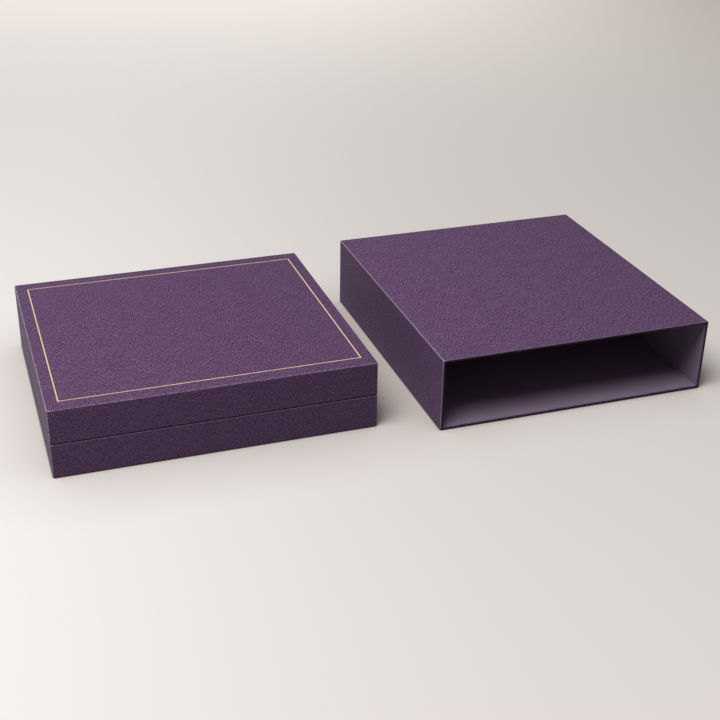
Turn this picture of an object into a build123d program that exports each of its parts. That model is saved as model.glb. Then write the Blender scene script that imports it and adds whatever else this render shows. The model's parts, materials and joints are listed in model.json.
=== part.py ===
"""A rigid gift box with a hinged lid, and the slipcase that it slides into, short end first.

The two stand side by side on a table: the closed box on the left, the slipcase on the right with its
mouth to the front. Each is greyboard panels, joined by paper tape and wrapped in textured covering paper.

Millimetres. +X runs along the box's hinge, +Y to the back, +Z up. The origin is on the table, at the
centre of the rectangle that the box and the slipcase cover together.
"""
from build123d import *
import os

# ---- the box ---------------------------------------------------------------------------------------
BOX_LENGTH = 200.0          # along the hinge
BOX_WIDTH = 182.0           # front to back, without the hinge cloth
TRAY_HEIGHT = 22.25         # the lower tray and the lid are equally tall
SEAM_GAP = 0.5              # open line between the lower tray and the lid
COVER = 0.25                # covering paper
LINING = 0.2                # lining paper
LID_BOARD = 2.0             # greyboard of the lid
FACE_BOARD = 2.0            # greyboard of the tray's floor and of the lid's top
NECK_CLEARANCE = 0.35       # between the neck and the lid's inner walls
BOX_EDGE_RADIUS = 0.9       # covering paper round the outer edges
RIM_RADIUS = 0.5            # and round the outer edge of each rim

# ---- the neck, which stands up out of the lower tray and guides the lid -----------------------------
NECK_BOARD = 1.0
NECK_RISE = 6.0

# ---- the foil line on the lid -----------------------------------------------------------------------
FOIL_END_MARGIN = 8.0       # from the lid's short ends to the middle of the line
FOIL_SIDE_MARGIN = 10.0     # from its front and back
FOIL_LINE = 0.8
FOIL_THICKNESS = 0.06
FOIL_DEPTH = 0.1            # how deep the line is pressed into the paper

# ---- the hinge cloth ---------------------------------------------------------------------------------
HINGE_CLOTH = 0.25
HINGE_SIDE_INSET = 1.0      # the cloth stops short of the box's ends
HINGE_EDGE_INSET = 1.5      # and short of its top and bottom edges
HINGE_AXIS_STANDOFF = 0.05  # the cloth bends round an axis just outside its face

# ---- padding in the tray and the lid ----------------------------------------------------------------
PAD_CARD = 1.0
TRAY_PAD = 7.0
LID_PAD = 4.0
PAD_CLEARANCE = 0.3         # between a pad and what stands round it
PAD_CORNER = 3.0

# ---- the slipcase ------------------------------------------------------------------------------------
SLEEVE_BOARD = 1.2
SLEEVE_LINING = 0.15
SLIDE_CLEARANCE = 0.4       # each side, between the closed box and the slipcase
END_CLEARANCE = 0.6         # behind the box when it is home
SLEEVE_EDGE_RADIUS = 0.6
SLEEVE_TURN_IN = 15.0       # covering paper folded into the mouth
FOLD_BED = 0.12             # that fold is pressed this deep into the boards
LINING_SETBACK = 1.0        # the lining stops this far inside the mouth

# ---- sheets and tapes that both have -----------------------------------------------------------------
BASE_TURN_IN = 15.0         # covering paper folded under the bottom
SHEET_GAP = 0.3             # between that fold and the bottom sheet
TAPE = 0.12                 # gummed paper tape, pressed into the board
TAPE_LEG = 9.0

# ---- how they stand on the table ---------------------------------------------------------------------
SIDE_GAP = 36.0             # from the box's right end to the slipcase's left side
SLEEVE_FORWARD = 17.0       # how far the slipcase's mouth stands in front of the box's front

# ---- sizes that follow -------------------------------------------------------------------------------
BASE_BOARD = LID_BOARD + NECK_CLEARANCE     # thicker, so that the neck glued to it clears the lid
BOX_HEIGHT = 2 * TRAY_HEIGHT + SEAM_GAP
BOX_DEPTH = BOX_WIDTH + HINGE_CLOTH
RIM = TRAY_HEIGHT                           # height of the lower tray's rim
LID_RIM = TRAY_HEIGHT + SEAM_GAP
BASE_WALL = COVER + BASE_BOARD + COVER
NECK_WALL = LINING + NECK_BOARD + LINING
FLOOR_TOP = COVER + FACE_BOARD
CEILING = BOX_HEIGHT - FLOOR_TOP
NECK_TOP = RIM + NECK_RISE
HINGE_HEIGHT = RIM + SEAM_GAP / 2

SLEEVE_WALL = COVER + SLEEVE_BOARD + SLEEVE_LINING
CAVITY_WIDTH = BOX_DEPTH + 2 * SLIDE_CLEARANCE
CAVITY_HEIGHT = BOX_HEIGHT + 2 * SLIDE_CLEARANCE
CAVITY_DEPTH = BOX_LENGTH + END_CLEARANCE
SLEEVE_WIDTH = CAVITY_WIDTH + 2 * SLEEVE_WALL
SLEEVE_HEIGHT = CAVITY_HEIGHT + 2 * SLEEVE_WALL
SLEEVE_DEPTH = CAVITY_DEPTH + SLEEVE_WALL

SET_LENGTH = BOX_LENGTH + SIDE_GAP + SLEEVE_WIDTH
BOX_FRONT_IN_SET = SLEEVE_FORWARD
SET_DEPTH = max(BOX_FRONT_IN_SET + BOX_DEPTH, SLEEVE_DEPTH)
BOX_X = -SET_LENGTH / 2 + BOX_LENGTH / 2                        # centre of the box
BOX_FRONT = -SET_DEPTH / 2 + BOX_FRONT_IN_SET                   # y of its front face
BOX_Y = BOX_FRONT + BOX_WIDTH / 2
BOX_BACK = BOX_FRONT + BOX_WIDTH
HINGE_Y = BOX_BACK + HINGE_CLOTH + HINGE_AXIS_STANDOFF
SLEEVE_X = SET_LENGTH / 2 - SLEEVE_WIDTH / 2
SLEEVE_MOUTH = -SET_DEPTH / 2
SLEEVE_Y = SLEEVE_MOUTH + SLEEVE_DEPTH / 2


def block(x0, x1, y0, y1, z0, z1):
    """A plain block between two corners."""
    size = Box(x1 - x0, y1 - y0, z1 - z0)
    return Pos((x0 + x1) / 2, (y0 + y1) / 2, (z0 + z1) / 2) * size


def slab(length, width, z0, z1):
    """A block centred on the Z axis."""
    return block(-length / 2, length / 2, -width / 2, width / 2, z0, z1)


def ring(length, width, wall, z0, z1):
    """An upright rectangular frame centred on the Z axis, of a given outer size."""
    return slab(length, width, z0, z1) - slab(length - 2 * wall, width - 2 * wall, z0, z1)


def save(name, shape):
    """Writes one sub-part as parts/NAME.step."""
    export_step(shape, f"parts/{name}.step")


def put(shape, x, y):
    """A shape made round the Z axis, moved to its place on the table."""
    return Pos(x, y, 0) * shape


def joined(shapes):
    """Separate solids as one sub-part."""
    return Compound([solid for shape in shapes for solid in shape.solids()])


# ---- trays: the lower tray and the lid are made alike, floor down and rim up ------------------------
def tray_block(inset, edge_radius, rim_radius):
    """The outer form of a tray, drawn in by inset all round."""
    length, width = BOX_LENGTH - 2 * inset, BOX_WIDTH - 2 * inset
    solid = slab(length, width, inset, TRAY_HEIGHT - inset)
    solid = fillet(solid.edges().filter_by(Axis.Z) + solid.edges().group_by(Axis.Z)[0], edge_radius)
    rim = solid.edges().group_by(Axis.Z)[-1]
    return fillet(rim, rim_radius)


def tray_core():
    """The form that the boards of a tray fill, under the covering paper."""
    return tray_block(COVER, BOX_EDGE_RADIUS - COVER, RIM_RADIUS - COVER)


def tray_inside(wall_board, skin):
    """The hollow of a tray: inside its boards, drawn in by skin."""
    edge = COVER + wall_board + skin
    return slab(BOX_LENGTH - 2 * edge, BOX_WIDTH - 2 * edge, FLOOR_TOP, TRAY_HEIGHT + 1)


def tray_tapes():
    """Paper tape round the four upright corners, pressed into the boards."""
    inset = COVER + TAPE
    under = slab(BOX_LENGTH - 2 * inset, BOX_WIDTH - 2 * inset, 0, TRAY_HEIGHT)
    under = fillet(under.edges().filter_by(Axis.Z), BOX_EDGE_RADIUS - inset)
    skin = tray_core() - under
    x, y = BOX_LENGTH / 2 - COVER, BOX_WIDTH / 2 - COVER
    bottom, top = FLOOR_TOP, TRAY_HEIGHT - COVER - RIM_RADIUS
    corners = [
        block(-x, -x + TAPE_LEG, -y, -y + TAPE_LEG, bottom, top),
        block(x - TAPE_LEG, x, -y, -y + TAPE_LEG, bottom, top),
        block(x - TAPE_LEG, x, y - TAPE_LEG, y, bottom, top),
        block(-x, -x + TAPE_LEG, y - TAPE_LEG, y, bottom, top),
    ]
    return [skin & corner for corner in corners]


def tray_boards(tray, face, wall_board, tapes):
    """Face and four walls of a tray, by node name; the front and back walls run the full length."""
    core = tray_core() - tray_inside(wall_board, 0)
    for tape in tapes:
        core -= tape
    x, y = BOX_LENGTH / 2, BOX_WIDTH / 2
    edge = COVER + wall_board
    top = TRAY_HEIGHT
    return {
        f"{tray}_{face}_board": core & slab(BOX_LENGTH, BOX_WIDTH, 0, FLOOR_TOP),
        f"{tray}_front_board": core & block(-x, x, -y, -y + edge, FLOOR_TOP, top),
        f"{tray}_back_board": core & block(-x, x, y - edge, y, FLOOR_TOP, top),
        f"{tray}_left_board": core & block(-x, -x + edge, -y + edge, y - edge, FLOOR_TOP, top),
        f"{tray}_right_board": core & block(x - edge, x, -y + edge, y - edge, FLOOR_TOP, top),
    }


def tray_wrap(wall_board):
    """The covering paper of a tray: outside, over the rim and down the inside to the floor."""
    boards = tray_core() - tray_inside(wall_board, 0)
    outer = tray_block(0, BOX_EDGE_RADIUS, RIM_RADIUS)
    return outer - boards - tray_inside(wall_board, COVER)


def bottom_opening(length, width, gap):
    """The field on the underside that the folded-in covering paper leaves free."""
    inset = BASE_TURN_IN + gap
    return slab(length - 2 * inset, width - 2 * inset, 0, COVER)


def padding(length, width, z0, z1):
    """A soft pad with rounded upright corners."""
    solid = slab(length, width, z0, z1)
    return fillet(solid.edges().filter_by(Axis.Z), PAD_CORNER)


# ---- the lower tray ----------------------------------------------------------------------------------
def lower_tray():
    tapes = tray_tapes()
    parts = tray_boards("base", "floor", BASE_BOARD, tapes)
    parts["base_corner_tapes"] = joined(tapes)
    parts["base_cover_paper"] = tray_wrap(BASE_BOARD) - bottom_opening(BOX_LENGTH, BOX_WIDTH, 0)
    parts["base_bottom_sheet"] = bottom_opening(BOX_LENGTH, BOX_WIDTH, SHEET_GAP)
    return parts


def neck():
    """Four board strips in a paper sleeve of their own, glued inside the lower tray."""
    length, width = BOX_LENGTH - 2 * BASE_WALL, BOX_WIDTH - 2 * BASE_WALL
    z0, z1 = FLOOR_TOP, NECK_TOP
    board_top = z1 - LINING
    x, y = length / 2 - LINING, width / 2 - LINING
    paper = ring(length, width, NECK_WALL, z0, z1)
    paper = fillet(paper.edges().group_by(Axis.Z)[-1], LINING * 0.9)
    paper -= ring(length - 2 * LINING, width - 2 * LINING, NECK_BOARD, z0, board_top)
    return {
        "neck_cover_paper": paper,
        "neck_front_strip": block(-x, x, -y, -y + NECK_BOARD, z0, board_top),
        "neck_back_strip": block(-x, x, y - NECK_BOARD, y, z0, board_top),
        "neck_left_strip": block(-x, -x + NECK_BOARD, -y + NECK_BOARD, y - NECK_BOARD, z0, board_top),
        "neck_right_strip": block(x - NECK_BOARD, x, -y + NECK_BOARD, y - NECK_BOARD, z0, board_top),
    }


def tray_padding():
    """Lining, card and pad on the floor of the lower tray, inside the neck."""
    edge = BASE_WALL + NECK_WALL
    length, width = BOX_LENGTH - 2 * edge, BOX_WIDTH - 2 * edge
    inner_length, inner_width = length - 2 * PAD_CLEARANCE, width - 2 * PAD_CLEARANCE
    lining_top = FLOOR_TOP + LINING
    card_top = lining_top + PAD_CARD
    return {
        "base_floor_lining": slab(length, width, FLOOR_TOP, lining_top),
        "base_pad_card": slab(inner_length, inner_width, lining_top, card_top),
        "base_pad": padding(inner_length, inner_width, card_top, card_top + TRAY_PAD),
    }


# ---- the lid -----------------------------------------------------------------------------------------
def turned_over(shape):
    """A tray made face down, turned round the X axis to lie on the lower tray as its lid."""
    return Pos(0, 0, BOX_HEIGHT) * Rot(180, 0, 0) * shape


def foil_frame(line, z0, z1):
    """The rectangular line on the lid, as wide as given, between two heights."""
    length = BOX_LENGTH - 2 * FOIL_END_MARGIN + line
    width = BOX_WIDTH - 2 * FOIL_SIDE_MARGIN + line
    return ring(length, width, line, z0, z1)


def lid():
    tapes = tray_tapes()
    boards = tray_boards("lid", "top", LID_BOARD, tapes)
    # turning the tray over brings its front to the back, so those two boards change names
    boards["lid_front_board"], boards["lid_back_board"] = boards["lid_back_board"], boards["lid_front_board"]
    parts = {name: turned_over(board) for name, board in boards.items()}
    parts["lid_corner_tapes"] = joined(turned_over(tape) for tape in tapes)
    foil_bottom = BOX_HEIGHT - FOIL_DEPTH
    groove = foil_frame(FOIL_LINE, foil_bottom, BOX_HEIGHT + 1)
    parts["lid_cover_paper"] = turned_over(tray_wrap(LID_BOARD)) - groove
    parts["lid_foil_line"] = foil_frame(FOIL_LINE, foil_bottom, foil_bottom + FOIL_THICKNESS)
    return parts


def lid_padding():
    """Lining, card and pad under the lid's ceiling."""
    edge = COVER + LID_BOARD + COVER
    length, width = BOX_LENGTH - 2 * edge, BOX_WIDTH - 2 * edge
    inset = NECK_CLEARANCE + NECK_WALL + PAD_CLEARANCE
    inner_length, inner_width = length - 2 * inset, width - 2 * inset
    lining_bottom = CEILING - LINING
    card_bottom = lining_bottom - PAD_CARD
    return {
        "lid_ceiling_lining": slab(length, width, lining_bottom, CEILING),
        "lid_pad_card": slab(inner_length, inner_width, card_bottom, lining_bottom),
        "lid_pad": padding(inner_length, inner_width, card_bottom - LID_PAD, card_bottom),
    }


# ---- the hinge cloth: one strip down the back, parted here at its fold --------------------------------
def hinge_cloth():
    x = BOX_LENGTH / 2 - HINGE_SIDE_INSET
    y0, y1 = BOX_WIDTH / 2, BOX_WIDTH / 2 + HINGE_CLOTH
    return {
        "hinge_cloth_lower": block(-x, x, y0, y1, HINGE_EDGE_INSET, RIM),
        "hinge_cloth_upper": block(-x, x, y0, y1, LID_RIM, BOX_HEIGHT - HINGE_EDGE_INSET),
    }


# ---- the slipcase: made round the Z axis, mouth towards -Y ---------------------------------------------
def sleeve_block(inset, radius):
    """The outer form of the slipcase, drawn in by inset on its four sides, its back and its mouth."""
    length, depth = SLEEVE_WIDTH - 2 * inset, SLEEVE_DEPTH - 2 * inset
    solid = slab(length, depth, inset, SLEEVE_HEIGHT - inset)
    along = solid.edges().filter_by(Axis.Y)
    back = solid.edges().group_by(Axis.Y)[-1]
    return fillet(along + back, radius)


def sleeve_hollow(skin):
    """The slipcase's hollow inside its boards, drawn in by skin."""
    edge = COVER + SLEEVE_BOARD + skin
    x = SLEEVE_WIDTH / 2 - edge
    mouth, back = -SLEEVE_DEPTH / 2, SLEEVE_DEPTH / 2 - edge
    return block(-x, x, mouth - 1, back, edge, SLEEVE_HEIGHT - edge)


def sleeve_boards():
    """All the slipcase's boards as one, with the bed for the covering paper's fold inside the mouth."""
    core = sleeve_block(COVER, SLEEVE_EDGE_RADIUS - COVER) - sleeve_hollow(0)
    x, mouth = SLEEVE_WIDTH / 2, -SLEEVE_DEPTH / 2
    fold = sleeve_hollow(-FOLD_BED) & block(-x, x, mouth, mouth + SLEEVE_TURN_IN, 0, SLEEVE_HEIGHT)
    return core - fold


def sleeve_wrap():
    """Covering paper over the four sides and the back, round the mouth's edges and folded inside."""
    wrap = sleeve_block(0, SLEEVE_EDGE_RADIUS) - sleeve_boards() - sleeve_hollow(0)
    return wrap - bottom_opening(SLEEVE_WIDTH, SLEEVE_DEPTH, 0)


def sleeve_lining():
    """Smooth lining paper on the four inner sides and the inner back."""
    x, lining_front = SLEEVE_WIDTH / 2, -SLEEVE_DEPTH / 2 + LINING_SETBACK
    outer = sleeve_hollow(0) & block(-x, x, lining_front, SLEEVE_DEPTH, 0, SLEEVE_HEIGHT)
    return outer - sleeve_hollow(SLEEVE_LINING)


def sleeve_tapes():
    """Paper tape along the four long edges, pressed into the boards."""
    core = sleeve_block(COVER, SLEEVE_EDGE_RADIUS - COVER)
    inset = COVER + TAPE
    under = slab(SLEEVE_WIDTH - 2 * inset, SLEEVE_DEPTH, inset, SLEEVE_HEIGHT - inset)
    skin = core - fillet(under.edges().filter_by(Axis.Y), SLEEVE_EDGE_RADIUS - inset)
    x, h = SLEEVE_WIDTH / 2, SLEEVE_HEIGHT
    y0, y1 = -SLEEVE_DEPTH / 2 + SLEEVE_TURN_IN, SLEEVE_DEPTH / 2 - SLEEVE_TURN_IN
    leg = COVER + TAPE_LEG
    corners = [
        block(-x, -x + leg, y0, y1, 0, leg),
        block(x - leg, x, y0, y1, 0, leg),
        block(x - leg, x, y0, y1, h - leg, h),
        block(-x, -x + leg, y0, y1, h - leg, h),
    ]
    return [skin & corner for corner in corners]


def slipcase():
    tapes = sleeve_tapes()
    core = sleeve_boards()
    for tape in tapes:
        core -= tape
    x, edge = SLEEVE_WIDTH / 2, COVER + SLEEVE_BOARD
    front, back, top = -SLEEVE_DEPTH / 2, SLEEVE_DEPTH / 2, SLEEVE_HEIGHT
    inner_back = back - edge
    return {
        "sleeve_bottom_board": core & block(-x, x, front, back, 0, edge),
        "sleeve_top_board": core & block(-x, x, front, back, top - edge, top),
        "sleeve_left_board": core & block(-x, -x + edge, front, inner_back, edge, top - edge),
        "sleeve_right_board": core & block(x - edge, x, front, inner_back, edge, top - edge),
        "sleeve_back_board": core & block(-x, x, inner_back, back, edge, top - edge),
        "sleeve_edge_tapes": joined(tapes),
        "sleeve_cover_paper": sleeve_wrap(),
        "sleeve_lining": sleeve_lining(),
        "sleeve_bottom_sheet": bottom_opening(SLEEVE_WIDTH, SLEEVE_DEPTH, SHEET_GAP),
    }


def main():
    os.makedirs("parts", exist_ok=True)
    box = {**lower_tray(), **neck(), **tray_padding(), **lid(), **lid_padding(), **hinge_cloth()}
    for name, shape in box.items():
        save(name, put(shape, BOX_X, BOX_Y))
    for name, shape in slipcase().items():
        save(name, put(shape, SLEEVE_X, SLEEVE_Y))
    print(f"box {BOX_LENGTH} x {BOX_DEPTH} x {BOX_HEIGHT}, centre {BOX_X:.3f}, {BOX_Y:.3f}")
    print(f"slipcase {SLEEVE_WIDTH} x {SLEEVE_DEPTH} x {SLEEVE_HEIGHT}, centre {SLEEVE_X:.3f}, {SLEEVE_Y:.3f}")
    print(f"hinge axis y {HINGE_Y:.3f}, z {HINGE_HEIGHT:.3f}; set {SET_LENGTH:.3f} x {SET_DEPTH:.3f}")


main()
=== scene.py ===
"""Looks of a hinged gift box in plum linen-grained paper, with a gold line on its lid, and its slipcase.

Laid out as an add-on and run as a script. Metres, in the part's own axes: +X along the hinge, +Y to the
back, +Z up. Modelled here is what shows: papers, cloth, foil and padding. The boards under them are the
part's own solids and only get their finish here.
"""
import json
import math

import bmesh
import bpy
from bpy.props import FloatProperty, FloatVectorProperty, PointerProperty
from mathutils import Matrix, Vector


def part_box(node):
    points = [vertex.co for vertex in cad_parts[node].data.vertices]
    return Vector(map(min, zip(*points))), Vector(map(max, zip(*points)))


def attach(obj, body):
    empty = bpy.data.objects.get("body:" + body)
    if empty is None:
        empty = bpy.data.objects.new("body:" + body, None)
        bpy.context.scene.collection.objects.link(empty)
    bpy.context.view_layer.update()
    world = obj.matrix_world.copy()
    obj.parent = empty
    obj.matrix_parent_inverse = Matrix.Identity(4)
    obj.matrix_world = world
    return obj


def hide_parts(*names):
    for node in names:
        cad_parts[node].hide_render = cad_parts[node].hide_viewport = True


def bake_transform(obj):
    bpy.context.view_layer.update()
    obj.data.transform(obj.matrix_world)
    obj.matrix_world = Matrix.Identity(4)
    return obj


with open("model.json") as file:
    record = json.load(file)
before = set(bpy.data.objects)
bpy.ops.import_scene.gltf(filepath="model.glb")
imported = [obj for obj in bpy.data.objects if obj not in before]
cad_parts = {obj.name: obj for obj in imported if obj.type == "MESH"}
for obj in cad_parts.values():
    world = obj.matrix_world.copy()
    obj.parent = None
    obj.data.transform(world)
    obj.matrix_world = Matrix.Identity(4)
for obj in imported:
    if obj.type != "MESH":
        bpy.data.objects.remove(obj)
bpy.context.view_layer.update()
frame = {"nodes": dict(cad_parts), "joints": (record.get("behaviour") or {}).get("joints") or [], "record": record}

bl_info = {
    "name": "Gift box with slipcase",
    "version": (1, 0, 0),
    "blender": (4, 5, 0),
    "location": "View3D > Sidebar > Gift box",
    "description": "Builds the papers, cloth, foil and padding of a hinged gift box and its slipcase",
    "category": "Object",
}

MM = 0.001
UP, DOWN = Vector((0, 0, 1)), Vector((0, 0, -1))
FRONT, SIDE = Vector((0, -1, 0)), Vector((1, 0, 0))

# Modelling: how finely edges are rounded, up to which angle faces shade as one, how near two levels or
# directions have to be to count as one, and areas in square metres that tell faces apart.
ROUND_SEGMENTS = 4
RIM_SEGMENTS = 3
SMOOTH_ANGLE = math.radians(40)
PLANE_TOLERANCE = 1e-6
SAME_WAY = 0.999
NEARLY_SAME_WAY = 0.9
WHOLE_BOTTOM = 0.01
SMALLEST_FACE = 1e-7

# Rims: the least cosine between a face of a rim with painted shade and the way that the rim looks, then the radius
# of the slipcase's rim as a share of the box's, and how deep the painted shade on its front edge goes.
LID_RIM_TURN, TRAY_RIM_TURN, CASE_RIM_TURN = 0.3, 0.9, 0.8
CASE_RIM_SHARE = 0.8
CASE_RIM_DEPTH = 0.2 * MM

# Hinge cloth: its divisions, the groove pressed in between lid and tray, and half the strip that bends.
CLOTH_COLUMNS, CLOTH_ROWS = 4, 120
GROOVE_HALF_WIDTH, GROOVE_DEPTH = 0.9 * MM, 0.15 * MM

# Pads: how far they are tucked in, how much room the crown takes, their radii and the size of their
# mesh, then the glued side's thickness, what is pressed flat of it, and the air that swells them.
PAD_TUCK, PAD_CROWN = 0.8 * MM, 1.4 * MM
PAD_CORNER, PAD_EDGE = 3 * MM, 1.6 * MM
THICK_PAD = 4 * MM
COARSE_MESH, FINE_MESH = 4 * MM, 2.5 * MM
GLUED_THICKNESS, PRESSED_FLAT = 0.6 * MM, 0.3 * MM
SWELL_PRESSURE, SWELL_FRAMES = 4, 20

# Grain of the covering paper and of the hinge cloth: width of one thread.
GRAIN_PITCH, CLOTH_PITCH = 0.4 * MM, 0.42 * MM

# Covering paper: how strongly its fibres, its mottling and the painted shade towards its right side show, how far
# the grain is evened out on upright faces, how wide the wear is and how strong it is, the left edges more so as a
# painted highlight, and how dark the painted shade on the rims is.
FIBRE_SHARE, MOTTLE_SHARE, PAINTED_SHADE_SHARE = 0.52, 0.16, 0.16
CALM_SHARE = 0.45
WEAR_WIDTH = 0.8 * MM
EDGE_WEAR, LEFT_WEAR_AND_HIGHLIGHT, CORNER_WEAR = 0.3, 0.85, 0.4
RIM_PAINTED_SHADE, CASE_RIM_PAINTED_SHADE = 0.3, 0.25

# Floor: its size and how far it lies under the part, where its colours begin and end across and away from the
# camera (light on the left and darker to the right, most of all far off on the right, a painted falloff of the
# light), where its shadows fade out, how far the painted shade beside a piece and the painted shadow line right
# under it reach, and what that line leaves of the floor's colour.
FLOOR_SIZE, FLOOR_DROP = 16, 0.1 * MM
NEAR_ACROSS, FAR_ACROSS, AWAY = (-0.34, 0.12), (-0.17, 0.89), (-0.1, 1.4)
SHADOWS_FADE = (0.8, 1.7)
CONTACT_REACH, CONTACT_LINE_REACH = 60 * MM, 1.5 * MM
CONTACT_LINE_SHARE = 0.25
OCCLUSION_SAMPLES = 16

# Light and camera: the camera's turn to the right, down and about its own axis, and its place from the
# tray's front left bottom corner.
AMBIENT_TINT, LIGHT_TINT = (1.0, 0.95, 0.91), (1.0, 0.99, 0.98)
LIGHT_PLACE, LIGHT_SIZE = Vector((-0.64, -0.42, 1.6)), 1.1
VIEW_TURN, VIEW_DOWN, VIEW_ROLL = math.radians(19.385), math.radians(27.535), math.radians(0.953)
CAMERA_FROM_CORNER = Vector((-40.2, -648.6, 407.2)) * MM
SENSOR_WIDTH = 36


# ---- sizes and colours that a user would change --------------------------------------------------------
def length(name, description, default):
    return FloatProperty(name=name, description=description, default=default, unit="LENGTH", precision=5)


def colour(name, description, default):
    return FloatVectorProperty(
        name=name, description=description, default=default, subtype="COLOR", size=3, min=0, max=1
    )


def share(name, description, default):
    return FloatProperty(name=name, description=description, default=default, subtype="FACTOR", min=0, max=1)


class PaperSizes(bpy.types.PropertyGroup):
    """Sizes of the sheets that cover the boards"""

    cover: length("Covering paper", "Thickness of the covering paper", 0.25 * MM)
    neck: length("Neck paper", "Thickness of the neck's paper", 0.2 * MM)
    box_edge: length("Box edge", "Radius of the paper round the box's outer edges", 0.9 * MM)
    rim_edge: length("Rim edge", "Radius round the outer edge of the lid's and the tray's rims", 0.5 * MM)
    inner_edge: length("Inner edge", "Radius round the inner edge of a rim", 0.2 * MM)
    case_edge: length("Slipcase edge", "Radius round the slipcase's outer edges", 0.6 * MM)
    turn_in: length("Turn-in", "Paper folded under a bottom and into the slipcase's mouth", 15 * MM)
    foil_line: length("Foil line", "Width of the gold line", 0.8 * MM)
    foil_depth: length("Foil depth", "How deep the line is pressed into the paper", 0.1 * MM)
    foil: length("Foil", "Thickness of the foil", 0.06 * MM)


class PaperColours(bpy.types.PropertyGroup):
    """Colours of the papers, the cloth, the foil and the padding"""

    cover: colour("Covering paper", "Plum of the covering paper", (0.14, 0.069, 0.169))
    cover_dark: colour("Covering paper, low", "Between the threads of the grain", (0.034, 0.011, 0.045))
    cover_light: colour("Covering paper, fibres", "Light fibres in the grain", (0.42, 0.3, 0.46))
    # The worn colour is also the colour of the painted highlight along the left edges.
    worn_and_highlit: colour("Worn edge", "Where the paper's colour has rubbed off", (0.45, 0.36, 0.46))
    lining: colour("Lining paper", "Smooth lining", (0.215, 0.157, 0.236))
    cloth: colour("Hinge cloth", "Woven cloth down the back", (0.085, 0.045, 0.098))
    velour: colour("Velour", "Cover of the pads", (0.105, 0.052, 0.122))
    foil: colour("Foil", "Pale gold", (0.94, 0.73, 0.45))
    board: colour("Greyboard", "Board under the papers", (0.36, 0.34, 0.31))
    tape: colour("Gummed tape", "Tape that holds the boards' corners", (0.46, 0.32, 0.19))


class Stage(bpy.types.PropertyGroup):
    """Floor, light and camera"""

    floor_left: colour("Floor, left", "Colour of the floor on the left", (0.9, 0.882, 0.862))
    floor_right: colour("Floor, right", "Colour of the floor on the right", (0.749, 0.715, 0.688))
    far_left: colour("Floor, far left", "Colour of the floor far behind on the left", (0.911, 0.851, 0.808))
    far_right: colour(
        "Floor, far right", "Colour of the floor far behind on the right", (0.354, 0.321, 0.277)
    )
    contact: colour(
        "Contact shadow", "What is left of the floor's colour right beside a piece", (0.5, 0.43, 0.39)
    )
    power: FloatProperty(name="Light", description="Power of the large soft light", default=31, unit="POWER")
    ambient: FloatProperty(name="Ambient", description="Strength of the light from all round", default=0.12)
    bounce: share("Floor bounce", "How much light the floor throws back at the box", 0.38)
    shadow: share("Shadow", "How much of the floor's brightness its shadows can take away", 0.92)
    lens: FloatProperty(
        name="Lens", description="Focal length for a 36 mm wide sensor", default=63.77, unit="CAMERA"
    )


# ---- places taken from the part ------------------------------------------------------------------------
def node_box(*nodes):
    """Lowest and highest corner of several CAD nodes together."""
    corners = [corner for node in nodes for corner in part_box(node)]
    low = Vector([min(c[i] for c in corners) for i in range(3)])
    high = Vector([max(c[i] for c in corners) for i in range(3)])
    return low, high


lid_low, lid_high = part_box("lid_cover_paper")
base_low, base_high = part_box("base_cover_paper")
case_low, case_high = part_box("sleeve_cover_paper")
hinge = Vector(next(j for j in frame["joints"] if j["name"] == "lid_hinge")["pos_m"])


# ---- modelling helpers ---------------------------------------------------------------------------------
def object_mode():
    if bpy.context.object and bpy.context.object.mode != "OBJECT":
        bpy.ops.object.mode_set(mode="OBJECT")


def select_none():
    object_mode()
    bpy.ops.object.select_all(action="DESELECT")


def only(*objects):
    """Leaves just these objects selected, the first of them active."""
    select_none()
    for obj in objects:
        obj.select_set(True)
    bpy.context.view_layer.objects.active = objects[0]


def named(name):
    """The new active object, under its own name and with its place in its mesh."""
    obj = bpy.context.object
    obj.name = obj.data.name = name
    bpy.ops.object.transform_apply(location=True, rotation=True, scale=True)
    return obj


def block(name, low, high):
    select_none()
    bpy.ops.mesh.primitive_cube_add(size=1, location=(low + high) / 2, scale=high - low)
    return named(name)


def pick(obj, kind, test=lambda element: True):
    """Goes into edit mode with just the faces or edges selected that test says yes to."""
    only(obj)
    bpy.ops.object.mode_set(mode="EDIT")
    bpy.ops.mesh.select_mode(type=kind)
    bpy.ops.mesh.select_all(action="DESELECT")
    mesh = bmesh.from_edit_mesh(obj.data)
    found = mesh.faces if kind == "FACE" else mesh.edges
    for element in found:
        element.select_set(test(element))
    bmesh.update_edit_mesh(obj.data)


def bevel(obj, test, radius, segments=ROUND_SEGMENTS):
    pick(obj, "EDGE", test)
    bpy.ops.mesh.bevel(offset=radius, segments=segments, affect="EDGES", clamp_overlap=False)
    object_mode()


def drop_faces(obj, test):
    pick(obj, "FACE", test)
    bpy.ops.mesh.delete(type="ONLY_FACE")
    object_mode()


def face_outward(obj):
    pick(obj, "FACE")
    bpy.ops.mesh.normals_make_consistent(inside=False)
    object_mode()


def turn_over(obj):
    """Makes a surface's faces look the other way."""
    pick(obj, "FACE")
    bpy.ops.mesh.flip_normals()
    object_mode()


def modify(obj, kind, **settings):
    """Adds a modifier with these settings and applies it."""
    only(obj)
    modifier = obj.modifiers.new(kind.title(), kind)
    for key, value in settings.items():
        setattr(modifier, key, value)
    bpy.ops.object.modifier_apply(modifier=modifier.name)


def on_plane(edge, way_out, level):
    return all(abs(v.co.dot(way_out) - level) < PLANE_TOLERANCE for v in edge.verts)


def looks(face, way):
    """Whether a block's face looks one way."""
    return face.normal.dot(way) > 0.5


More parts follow.
